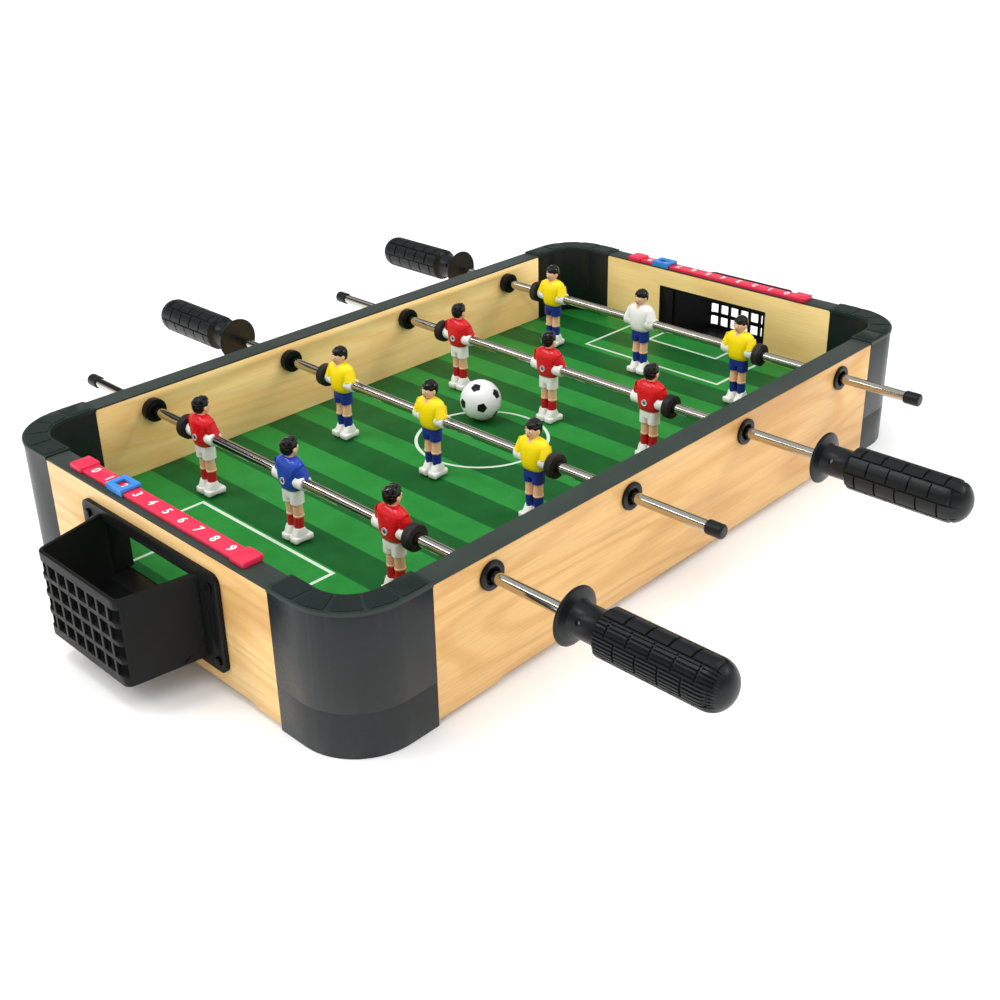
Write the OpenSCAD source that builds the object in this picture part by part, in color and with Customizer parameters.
// Tabletop foosball table of the 20 inch class. Millimetres, +Z up.
// Origin: centre of the footprint, on the surface that the table stands on.
// X runs from goal to goal and Y runs along the player rods.

/* [Walls] */
// Length over the end panels
table_l = 508; // [500:2:520]
// Width over the side rails
table_w = 310; // [306:2:316]
// Thickness of the side rails and end panels
wall_t = 14; // [14:0.5:15]
// Height of the top of the rails
rail_top = 80.5; // [80:0.5:82]
// Gap between the floor and the ends of the rails
rail_gap = 3.6; // [3:0.2:5]
// Extra gap under the middle of a rail or end panel
arch_rise = 1.8; // [1:0.2:3]
// Thickness of the edging on top of the walls
edging_t = 1.2; // [0.8:0.1:1.5]

/* [Corners] */
// Outer radius of the rounded corners
corner_r = 36; // [34:1:38]
// Distance from a corner at which its post meets the walls
corner_reach = 54; // [50:1:56]
// Height of the corner feet
foot_h = 25.7; // [24:0.1:26]
// Height of the top of the corner caps
cap_top = 82; // [82:0.5:84]
// Thickness of the moulded shells
shell_t = 2.5; // [2:0.1:3]

/* [Pitch and goals] */
// Height of the playing surface
pitch_z = 27.5; // [27:0.1:28]
// Thickness of the pitch board
pitch_t = 3; // [2.5:0.1:3]
// Width of a goal mouth
mouth_w = 97; // [90:1:100]
// Height of the top of a goal mouth
mouth_top = 66; // [62:1:66]
// How far a goal box stands out from its end panel
goal_depth = 43; // [38:1:44]

/* [Rods] */
// Distance between neighbouring rods
rod_pitch = 108; // [104:1:110]
// Height of the rod axes
rod_z = 68; // [67:0.5:69]
// Outer diameter of a rod
rod_d = 6.4; // [6:0.1:6.6]
// Distance between neighbouring men on a rod
man_pitch = 85; // [80:1:86]
// Sideways offset of the men on the last rod
last_offset = 6.5; // [0:0.5:7]
// Length of a handle
handle_l = 88; // [84:1:90]

/* [Score and ball] */
// Length of a score bar
score_l = 160; // [158:1:164]
// Distance between neighbouring score digits
digit_pitch = 13.8; // [13.6:0.1:14]
// Diameter of the ball
ball_d = 28; // [26:0.5:30]

/* [Hidden] */
$fn = 64;

half_l = table_l / 2;
half_w = table_w / 2;
rail_half = half_l - corner_reach;
panel_half = half_w - corner_reach;
panel_top = rail_top - edging_t;
cut = 1;              // how far a cutting shape runs past a face
fine = 0.05;          // fit of pieces that are fixed together

// Corner shells
foot_floor = 2.5;
boss_d = 10;
boss_top = 60;
boss_spot = [half_l - corner_r, half_w - corner_r]
    + (corner_r - wall_t / 2) * [cos(45), sin(45)];
screw_bore_d = 3.4;
screw_pilot_d = 2.6;
screw_head_d = 6;
screw_sink = 1.6;     // depth at which a corner screw's head lies
cap_t = 3;
cap_overhang = 0.5;
cap_inner_overhang = 1.2;
tongue_l = 12;
tongue_t = wall_t - 2 * shell_t - 0.4;
tongue_low = foot_h + 2;
tongue_high = panel_top - 5;

// Pitch board and its grooves
groove_depth = 3;
pitch_gap = 0.3;
arch_half_rail = 155;
arch_half_panel = 78;
arch_slope = 4;

// Goals
mouth_low = pitch_z - pitch_t - 0.1;
liner_t = 2;
goal_wall = 2;
flange_w = 124;
flange_low = 14;
flange_high = 71;
flange_t = 2.5;
flange_r = 5;
box_back_half = 46;   // half width of the goal box at its flange
box_front_half = 38;  // half width of the goal box at its front
box_r = 5;
box_back_low = 18;
box_front_low = 16;
box_back_high = 67;
box_front_high = 65.5;
sill_out = half_l + flange_t;
sill_gap = 0.1;
grid_cols = 8;
grid_rows = 4;
grid_step_y = 9.5;
grid_step_z = 10.4;
grid_hole_y = 7.4;
grid_hole_z = 7.8;
goal_screw_y = 56;
goal_screw_z = [20, 63.5];
goal_screw_l = 10;

// Rod bushes
bush_flange_d = 16;
bush_flange_t = 1.6;
bush_sleeve_d = 11.7;
bush_run = 0.08;      // radial running clearance of a rod in its bushes
bush_nut_d = 15;
bush_nut_t = 5;
bush_sink_d = 9.6;
bush_sink = 2.5;

// Rods and what is on them
rod_x = [for (i = [0:3]) (i - 1.5) * rod_pitch];
rod_side = [-1, 1, -1, 1];       // side of the table that a rod's handle is on
rod_facing = [1, -1, 1, -1];     // the way that a rod's men face along X
rod_offset = [0, 0, 0, last_offset];
rod_wall = 0.8;
tube_to_handle_tip = 9;
tube_to_cap_tip = 1.5;
handle_flange_d = 30;
handle_flange_t = 3;
handle_start = [207, 199, 207, 191];    // distance of each rod's handle from the middle
handle_neck_d = 17.5;
handle_neck_l = 15;
grip_d = 24.6;
grip_r = 6;
set_screw_l = 9;      // distance of the set screw from the start of its handle
set_screw_d = 3;
set_screw_tilt = 25;
end_cap_tip = [213.5, 215, 217, 211];   // distance of each rod's cap from the middle
end_cap_d = 8.2;
end_cap_l = 10.5;
end_cap_round = 1.5;
ring_d = 15;
ring_t = 5;
ring_run = 0.05;
ring_gap = 0.3;
boss_half = 13;       // half length of a man's boss along the rod
man_screw_d = 2;
man_screw_head_d = 4;

// Score bars
score_x = half_l - 9;
score_w = 10;
score_t = 2.2;
score_block_l = 12;
score_block_w = 12.5;
score_block_t = 3.4;
slider_l = 15;
slider_w = 12.4;
slider_t = 4.4;
slider_gap = 0.25;
window_l = 8.4;
window_w = 6;
first_digit = 4.5 * digit_pitch;
left_slider_y = first_digit - 2 * digit_pitch;
right_slider_y = 8 * digit_pitch - first_digit;

// Ball
ball_spot = [26, 37, pitch_z + ball_d / 2 + 0.2];

// ---------------------------------------------------------------- helpers

// Rectangle with rounded corners, centred
module rounded_plan(size, r) {
    square([size.x - 2 * r, size.y], center = true);
    square([size.x, size.y - 2 * r], center = true);
    for (sx = [-1, 1], sy = [-1, 1])
        translate([sx * (size.x / 2 - r), sy * (size.y / 2 - r)]) circle(r);
}

// Cylinder along Y from y0 to y1
module along_y(d, y0, y1) {
    translate([0, max(y0, y1), 0]) rotate([90, 0, 0]) cylinder(h = abs(y1 - y0), d = d);
}

// Places its children at all four corners by mirroring
module four_corners() {
    for (mx = [0, 1], my = [0, 1]) mirror([mx, 0, 0]) mirror([0, my, 0]) children();
}

// Plan of the (+X, +Y) corner of the table, drawn in from its outline by inset
module corner_fill(inset, reach) {
    mid = [half_l - corner_r, half_w - corner_r];
    low = [half_l - reach, half_w - reach];
    translate(mid) intersection() {
        circle(corner_r - inset);
        square(corner_r - inset);
    }
    translate(low) square([mid.x - low.x, half_w - inset - low.y]);
    translate(low) square([half_l - inset - low.x, mid.y - low.y]);
}

// Band of a corner's wall between two insets
module corner_band(outer, inner, reach = corner_reach) {
    difference() {
        corner_fill(outer, reach);
        corner_fill(inner, reach + cut);
    }
}

// ---------------------------------------------------------------- table

module pitch_board() {
    plan = [table_l - 2 * wall_t - 2 * pitch_gap, table_w - 2 * wall_t - 2 * pitch_gap];
    grip = groove_depth * 2;
    color("forestgreen")
        translate([0, 0, pitch_z - pitch_t]) linear_extrude(pitch_t) {
            rounded_plan(plan, corner_r - wall_t - pitch_gap);
            square([plan.x + grip, 2 * panel_half - 2], center = true);
            square([2 * rail_half - 2, plan.y + grip], center = true);
        }
}

// A wall seen along X: half length, and where its lower edge rises
module wall_blank(half, arch_half) {
    difference() {
        union() {
            translate([-half, -wall_t, rail_gap]) cube([2 * half, wall_t, panel_top - rail_gap]);
            for (side = [-1, 1])
                translate([side * half - tongue_l, -(wall_t + tongue_t) / 2, tongue_low])
                    cube([2 * tongue_l, tongue_t, tongue_high - tongue_low]);
        }
        translate([0, cut, 0]) rotate([90, 0, 0]) linear_extrude(wall_t + 2 * cut)
            polygon([
                [-arch_half - arch_slope, rail_gap - 0.001],
                [arch_half + arch_slope, rail_gap - 0.001],
                [arch_half, rail_gap + arch_rise],
                [-arch_half, rail_gap + arch_rise],
            ]);
        translate([-half - tongue_l - cut, -wall_t - cut, pitch_z - pitch_t - 0.1])
            cube([2 * (half + tongue_l + cut), groove_depth + cut, pitch_t + 0.2]);
    }
}

// Rail of the +Y side
module side_rail() {
    color("burlywood")
        difference() {
            translate([0, half_w, 0]) wall_blank(rail_half, arch_half_rail);
            for (x = rod_x)
                translate([x, 0, rod_z]) along_y(bush_sleeve_d + 2 * fine, half_w - wall_t - cut, half_w + cut);
        }
}

module front_rail() { mirror([0, 1, 0]) side_rail(); }
module rear_rail() { side_rail(); }

// Panel of the +X end
module end_panel() {
    color("burlywood")
        difference() {
            rotate(-90) translate([0, half_l, 0]) wall_blank(panel_half, arch_half_panel);
            translate([half_l - wall_t - cut, -mouth_w / 2, mouth_low])
                cube([wall_t + 2 * cut, mouth_w, mouth_top - mouth_low]);
            for (y = [-goal_screw_y, goal_screw_y], z = goal_screw_z)
                translate([half_l - goal_screw_l, y, z]) rotate([0, 90, 0])
                    cylinder(h = goal_screw_l + cut, d = screw_pilot_d);
        }
}

module left_end_panel() { mirror([1, 0, 0]) end_panel(); }
module right_end_panel() { end_panel(); }

module rail_edging() {
    color("dimgray")
        for (side = [-1, 1])
            translate([-rail_half, side * (half_w - wall_t / 2) - wall_t / 2, panel_top])
                cube([2 * rail_half, wall_t, edging_t]);
}

module end_edging() {
    color("dimgray")
        for (side = [-1, 1])
            translate([side * (half_l - wall_t / 2) - wall_t / 2, -panel_half, panel_top])
                cube([wall_t, 2 * panel_half, edging_t]);
}

// ---------------------------------------------------------------- corners

module corner_foot() {
    difference() {
        union() {
            difference() {
                linear_extrude(foot_h) corner_band(0, wall_t);
                translate([0, 0, foot_floor]) linear_extrude(foot_h)
                    corner_band(shell_t, wall_t - shell_t, corner_reach - shell_t);
            }
            translate(boss_spot) cylinder(h = foot_h, d = boss_d);
        }
        translate([boss_spot.x, boss_spot.y, -cut]) {
            cylinder(h = foot_h + 2 * cut, d = screw_bore_d);
            cylinder(h = screw_sink + 2 + cut, d = screw_head_d + 0.6);
        }
    }
}

module corner_feet() { color("darkslategray") four_corners() corner_foot(); }

module corner_screws() {
    color("gray")
        four_corners() translate(boss_spot) {
            translate([0, 0, screw_sink]) cylinder(h = 2, d = screw_head_d);
            translate([0, 0, screw_sink + 1]) cylinder(h = foot_h + 12, d = screw_pilot_d);
        }
}

module corner_post() {
    post_h = cap_top - cap_t - foot_h;
    color("darkslategray")
        translate([0, 0, foot_h]) difference() {
            union() {
                linear_extrude(post_h) difference() {
                    corner_band(0, wall_t);
                    corner_band(shell_t, wall_t - shell_t, corner_reach + cut);
                }
                translate(boss_spot) cylinder(h = boss_top - foot_h, d = boss_d);
            }
            translate([boss_spot.x, boss_spot.y, -cut])
                cylinder(h = boss_top - foot_h - 8, d = screw_pilot_d + 2 * fine);
        }
}

module front_left_post() { mirror([1, 0, 0]) mirror([0, 1, 0]) corner_post(); }
module front_right_post() { mirror([0, 1, 0]) corner_post(); }
module rear_left_post() { mirror([1, 0, 0]) corner_post(); }
module rear_right_post() { corner_post(); }

module corner_cap() {
    lip = 3;
    color("dimgray") {
        translate([0, 0, cap_top - cap_t]) linear_extrude(cap_t)
            corner_band(-cap_overhang, wall_t + cap_inner_overhang);
        translate([0, 0, cap_top - cap_t - lip]) linear_extrude(lip + 0.5)
            corner_band(shell_t + 0.2, wall_t - shell_t - 0.2, corner_reach - tongue_l - 4);
    }
}

module front_left_cap() { mirror([1, 0, 0]) mirror([0, 1, 0]) corner_cap(); }
module front_right_cap() { mirror([0, 1, 0]) corner_cap(); }
module rear_left_cap() { mirror([1, 0, 0]) corner_cap(); }
module rear_right_cap() { corner_cap(); }

// ---------------------------------------------------------------- goals

// Plan of the goal box behind the +X end, drawn in by inset
module box_plan(inset) {
    front = half_l + goal_depth - inset;
    taper = atan((box_back_half - box_front_half) / goal_depth);
    r = box_r - inset;
    mid = [front - r, box_front_half - box_r];
    polygon([
        [half_l - cut, -box_back_half + inset],
        [mid.x + r * sin(taper), -mid.y - r * cos(taper)],
        [mid.x, -mid.y], [front, -mid.y], [front, mid.y], [mid.x, mid.y],
        [mid.x + r * sin(taper), mid.y + r * cos(taper)],
        [half_l - cut, box_back_half - inset],
    ]);
    for (side = [-1, 1]) translate([mid.x, side * mid.y]) circle(r);
}

// Side view of the goal box, between lifts above its floor line and its rim line
module box_side(floor_lift, rim_lift) {
    front = half_l + goal_depth + cut;
    rotate([90, 0, 0]) linear_extrude(2 * box_back_half + 2 * cut, center = true)
        polygon([
            [half_l - 2 * cut, box_back_low + floor_lift], [front, box_front_low + floor_lift],
            [front, box_front_high + rim_lift], [half_l - 2 * cut, box_back_high + rim_lift],
        ]);
}

module goal_shell() {
    difference() {
        intersection() {
            linear_extrude(rail_top) box_plan(0);
            box_side(0, 0);
        }
        intersection() {
            linear_extrude(2 * rail_top) box_plan(goal_wall);
            box_side(goal_wall, 2 * goal_wall);
        }
        translate([half_l - 2 * cut, -box_back_half - cut, 0])
            cube([2 * cut, 2 * (box_back_half + cut), 2 * rail_top]);
        for (col = [0 : grid_cols - 1], row = [0 : grid_rows - 1])
            translate([
                half_l + goal_depth,
                (col - (grid_cols - 1) / 2) * grid_step_y,
                (box_front_low + box_front_high) / 2 + (row - (grid_rows - 1) / 2) * grid_step_z,
            ]) cube([3 * goal_wall, grid_hole_y, grid_hole_z], center = true);
    }
}

// Flange on the outside of the end panel, and the liner of its mouth
module goal_flange() {
    inner_y = mouth_w - 2 * liner_t;
    inner_top = mouth_top - liner_t;
    middle = (flange_low + flange_high) / 2;
    difference() {
        union() {
            translate([half_l, 0, middle]) rotate([90, 0, 90]) linear_extrude(flange_t)
                rounded_plan([flange_w, flange_high - flange_low], flange_r);
            translate([half_l - wall_t, -mouth_w / 2 + fine, pitch_z + 0.2])
                cube([wall_t + cut, mouth_w - 2 * fine, mouth_top - fine - pitch_z - 0.2]);
        }
        translate([half_l - wall_t - cut, -inner_y / 2, pitch_z - cut])
            cube([wall_t + flange_t + 3 * cut, inner_y, inner_top - pitch_z + cut]);
        translate([half_l - cut, 0, 0]) intersection() {
            linear_extrude(inner_top) square([4 * flange_t, 2 * (box_back_half - goal_wall)], center = true);
            translate([-2 * flange_t, -flange_w / 2, box_back_low + goal_wall])
                cube([4 * flange_t, flange_w, rail_top]);
        }
        for (y = [-goal_screw_y, goal_screw_y], z = goal_screw_z)
            translate([half_l - cut, y, z]) rotate([0, 90, 0])
                cylinder(h = flange_t + 2 * cut, d = screw_bore_d);
    }
}

// Ramp that the ball rolls down from the pitch into the box
module goal_sill() {
    start = half_l - wall_t + groove_depth + 0.4;
    ramp_end = half_l + 14;
    translate([start, -mouth_w / 2 + sill_gap, mouth_low + 0.2])
        cube([half_l + cut - start, mouth_w - 2 * sill_gap, pitch_z - mouth_low - 0.4]);
    rotate([90, 0, 0]) linear_extrude(2 * (box_back_half - goal_wall), center = true)
        polygon([
            [start, mouth_low + 0.2], [start, pitch_z - 0.2], [sill_out, pitch_z - 0.2],
            [ramp_end, box_back_low + 1], [ramp_end - 2, box_back_low + 0.5],
            [half_l + 0.5, box_back_low + 0.5], [half_l + 0.5, mouth_low + 0.2],
        ]);
}

module goal() {
    color([0.1, 0.1, 0.11]) {
        goal_shell();
        goal_flange();
        goal_sill();
    }
}

module left_goal() { mirror([1, 0, 0]) goal(); }
module right_goal() { goal(); }

module goal_screws() {
    head_t = 1.4;
    color("gray")
        for (side = [0, 1], y = [-goal_screw_y, goal_screw_y], z = goal_screw_z)
            mirror([side, 0, 0]) translate([half_l, y, z]) rotate([0, 90, 0]) {
                translate([0, 0, flange_t]) cylinder(h = head_t, d = 5);
                translate([0, 0, 1 - goal_screw_l]) cylinder(h = goal_screw_l + flange_t, d = screw_pilot_d - 2 * fine);
            }
}

// ---------------------------------------------------------------- rod bushes

// Flanged bush and its push-on collar, in the wall of the +Y side
module bush() {
    inner = half_w - wall_t;
    difference() {
        union() {
            along_y(bush_flange_d, half_w, half_w + bush_flange_t);
            along_y(bush_sleeve_d, inner - bush_nut_t + 0.8, half_w + bush_flange_t);
        }
        along_y(rod_d + 2 * bush_run, inner - bush_nut_t, half_w + cut);
        along_y(bush_sink_d, half_w + bush_flange_t - bush_sink, half_w + bush_flange_t + cut);
    }
    difference() {
        along_y(bush_nut_d, inner - bush_nut_t, inner);
        along_y(bush_sleeve_d + 2 * fine, inner - bush_nut_t + 0.7, inner + cut);
        along_y(bush_sink_d - 1, inner - bush_nut_t - cut, inner);
    }
}

module rear_bushes() {
    color([0.1, 0.1, 0.11])
        for (x = rod_x) translate([x, 0, rod_z]) bush();
}

module front_bushes() { mirror([0, 1, 0]) rear_bushes(); }

// ---------------------------------------------------------------- score bars

module score_bar() {
    color("crimson")
        translate([score_x, 0, rail_top]) {
            translate([-score_w / 2, -score_l / 2 + 1, 0]) cube([score_w, score_l - 2, score_t]);
            for (side = [-1, 1])
                translate([-score_block_w / 2, side * (score_l - score_block_l) / 2 - score_block_l / 2, 0])
                    cube([score_block_w, score_block_l, score_block_t]);
        }
}

module right_score_bar() { score_bar(); }
module left_score_bar() { mirror([1, 0, 0]) score_bar(); }

module slider_frame(y) {
    color("dodgerblue")
        translate([score_x, y, rail_top]) difference() {
            translate([-slider_w / 2, -slider_l / 2, slider_gap])
                cube([slider_w, slider_l, slider_t - slider_gap]);
            translate([-score_w / 2 - slider_gap, -slider_l / 2 - cut, 0])
                cube([score_w + 2 * slider_gap, slider_l + 2 * cut, score_t + slider_gap]);
            translate([-window_w / 2, -window_l / 2, 0]) cube([window_w, window_l, slider_t + cut]);
        }
}

module right_score_slider() { slider_frame(right_slider_y); }
module left_score_slider() { mirror([1, 0, 0]) slider_frame(left_slider_y); }

// ---------------------------------------------------------------- rods

// Puts its children at rod i, where +Y is the end that its handle is on
module at_rod(i) {
    translate([rod_x[i], 0, rod_z]) mirror([0, rod_side[i] < 0 ? 1 : 0, 0]) children();
}

// Y of man j on rod i, from the front (0) to the rear (2)
function man_y(i, j) = (j - 1) * man_pitch + rod_offset[i];

// Where the tube of rod i ends, inside its end cap and inside its handle
function tube_low(i) = tube_to_cap_tip - end_cap_tip[i];
function tube_high(i) = handle_start[i] + handle_l - tube_to_handle_tip;

module rod_tube(i) {
    color("silver")
        difference() {
            at_rod(i) difference() {
                along_y(rod_d, tube_low(i), tube_high(i));
                along_y(rod_d - 2 * rod_wall, tube_low(i) - cut, tube_high(i) + cut);
            }
            for (j = [0:2])
                translate([rod_x[i], man_y(i, j), rod_z]) rotate([0, 90, 0])
                    cylinder(h = rod_d + 2 * cut, d = man_screw_d + 2 * fine, center = true);
        }
}

// Round profile turned about the rod: [start, end, diameter, edge radius]
module turned(start, end, d, r) {
    rotate([-90, 0, 0]) rotate_extrude() {
        translate([0, start]) square([d / 2 - r, end - start]);
        translate([0, start + r]) square([d / 2, end - start - 2 * r]);
        for (y = [start + r, end - r]) translate([d / 2 - r, y]) circle(r);
    }
}

module set_screw_hole(i, d, low, high) {
    translate([0, handle_start[i] + set_screw_l, 0]) rotate([0, -90 + set_screw_tilt, 0])
        translate([0, 0, low]) cylinder(h = high - low, d = d);
}

module rod_handle(i) {
    neck_start = handle_start[i] + handle_flange_t;
    grip_start = neck_start + handle_neck_l;
    color([0.08, 0.08, 0.09])
        at_rod(i) difference() {
            union() {
                turned(handle_start[i], neck_start, handle_flange_d, 1.2);
                along_y(handle_neck_d, neck_start - 1, grip_start + 1);
                turned(grip_start, handle_start[i] + handle_l, grip_d, grip_r);
            }
            along_y(rod_d + 2 * fine, handle_start[i] - cut, tube_high(i) + fine);
            set_screw_hole(i, set_screw_d + 2 * fine, 0, handle_neck_d);
        }
}

module rod_end_cap(i) {
    color([0.08, 0.08, 0.09])
        at_rod(i) mirror([0, 1, 0]) difference() {
            turned(end_cap_tip[i] - end_cap_l, end_cap_tip[i], end_cap_d, end_cap_round);
            along_y(rod_d + 2 * fine, end_cap_tip[i] - end_cap_l - cut, fine - tube_low(i));
        }
}

// Rubber rings outboard of the outer men
module rod_rings(i) {
    color([0.2, 0.2, 0.2])
        translate([rod_x[i], 0, rod_z])
            for (side = [-1, 1]) {
                start = man_y(i, 1 + side) + side * (boss_half + ring_gap);
                difference() {
                    along_y(ring_d, start, start + side * ring_t);
                    along_y(rod_d + 2 * ring_run, start - side * cut, start + side * (ring_t + cut));
                }
            }
}

// Screws of the men, and the handle's set screw
module rod_screws(i) {
    color("gray") {
        for (j = [0:2])
            translate([rod_x[i], man_y(i, j), rod_z]) rotate([0, -90 * rod_facing[i], 0]) {
                translate([0, 0, 4.9]) cylinder(h = 1.3, d = man_screw_head_d);
                translate([0, 0, -rod_d / 2]) cylinder(h = 8.5, d = man_screw_d);
            }
        at_rod(i) set_screw_hole(i, set_screw_d, rod_d / 2 + fine, handle_neck_d / 2 - 1.5);
    }
}

// A man that faces +X, with the rod's axis at his origin
module man_shape() {
    chest = [12, 20];
    hips = [9.5, 13.5];
    difference() {
        union() {
            translate([0, 0, -6.5]) linear_extrude(19) rounded_plan(chest, 4);
            along_y(11, -boss_half, boss_half);
            translate([0.4, 0, 10]) cylinder(h = 5, d = 6);
            translate([0.6, 0, 17.8]) sphere(d = 10.8);
            translate([-0.4, 0, 19.4]) sphere(d = 10.8);
            translate([0, 0, -15]) linear_extrude(9.5) rounded_plan(hips, 3);
            for (side = [-1, 1])
                translate([0, side * 3.1, -32]) cylinder(h = 18, d = 6);
            translate([0, 0, -39]) linear_extrude(9) rounded_plan([13, 15.4], 2);
        }
        along_y(rod_d + 2 * fine, -boss_half - cut, boss_half + cut);
        translate([-chest.x, 0, 0]) rotate([0, 90, 0]) cylinder(h = chest.x, d = man_screw_d + 2 * fine);
        translate([-chest.x, 0, 0]) rotate([0, 90, 0]) cylinder(h = chest.x - 4.8, d = man_screw_head_d + 0.4);
    }
}

module man(i, j, shirt) {
    color(shirt)
        translate([rod_x[i], man_y(i, j), rod_z]) mirror([rod_facing[i] < 0 ? 1 : 0, 0, 0]) man_shape();
}

module ball() { color("white") translate(ball_spot) sphere(d = ball_d); }

// ---------------------------------------------------------------- nodes

pitch_board();
front_rail();
rear_rail();
left_end_panel();
right_end_panel();
rail_edging();
end_edging();
corner_feet();
corner_screws();
front_left_post();
front_right_post();
rear_left_post();
rear_right_post();
front_left_cap();
front_right_cap();
rear_left_cap();
rear_right_cap();
left_goal();
right_goal();
goal_screws();
front_bushes();
rear_bushes();
left_score_bar();
right_score_bar();
left_score_slider();
right_score_slider();
rod_tube(0);  // rod_1_tube
rod_handle(0);  // rod_1_handle
rod_end_cap(0);  // rod_1_end_cap
rod_rings(0);  // rod_1_rings
rod_screws(0);  // rod_1_screws
man(0, 0, "crimson");  // rod_1_front_man
man(0, 1, "royalblue");  // rod_1_middle_man
man(0, 2, "crimson");  // rod_1_rear_man
rod_tube(1);  // rod_2_tube
rod_handle(1);  // rod_2_handle
rod_end_cap(1);  // rod_2_end_cap
rod_rings(1);  // rod_2_rings
rod_screws(1);  // rod_2_screws
man(1, 0, "gold");  // rod_2_front_man
man(1, 1, "gold");  // rod_2_middle_man
man(1, 2, "gold");  // rod_2_rear_man
rod_tube(2);  // rod_3_tube
rod_handle(2);  // rod_3_handle
rod_end_cap(2);  // rod_3_end_cap
rod_rings(2);  // rod_3_rings
rod_screws(2);  // rod_3_screws
man(2, 0, "crimson");  // rod_3_front_man
man(2, 1, "crimson");  // rod_3_middle_man
man(2, 2, "crimson");  // rod_3_rear_man
rod_tube(3);  // rod_4_tube
rod_handle(3);  // rod_4_handle
rod_end_cap(3);  // rod_4_end_cap
rod_rings(3);  // rod_4_rings
rod_screws(3);  // rod_4_screws
man(3, 0, "gold");  // rod_4_front_man
man(3, 1, "ghostwhite");  // rod_4_middle_man
man(3, 2, "gold");  // rod_4_rear_man
ball();
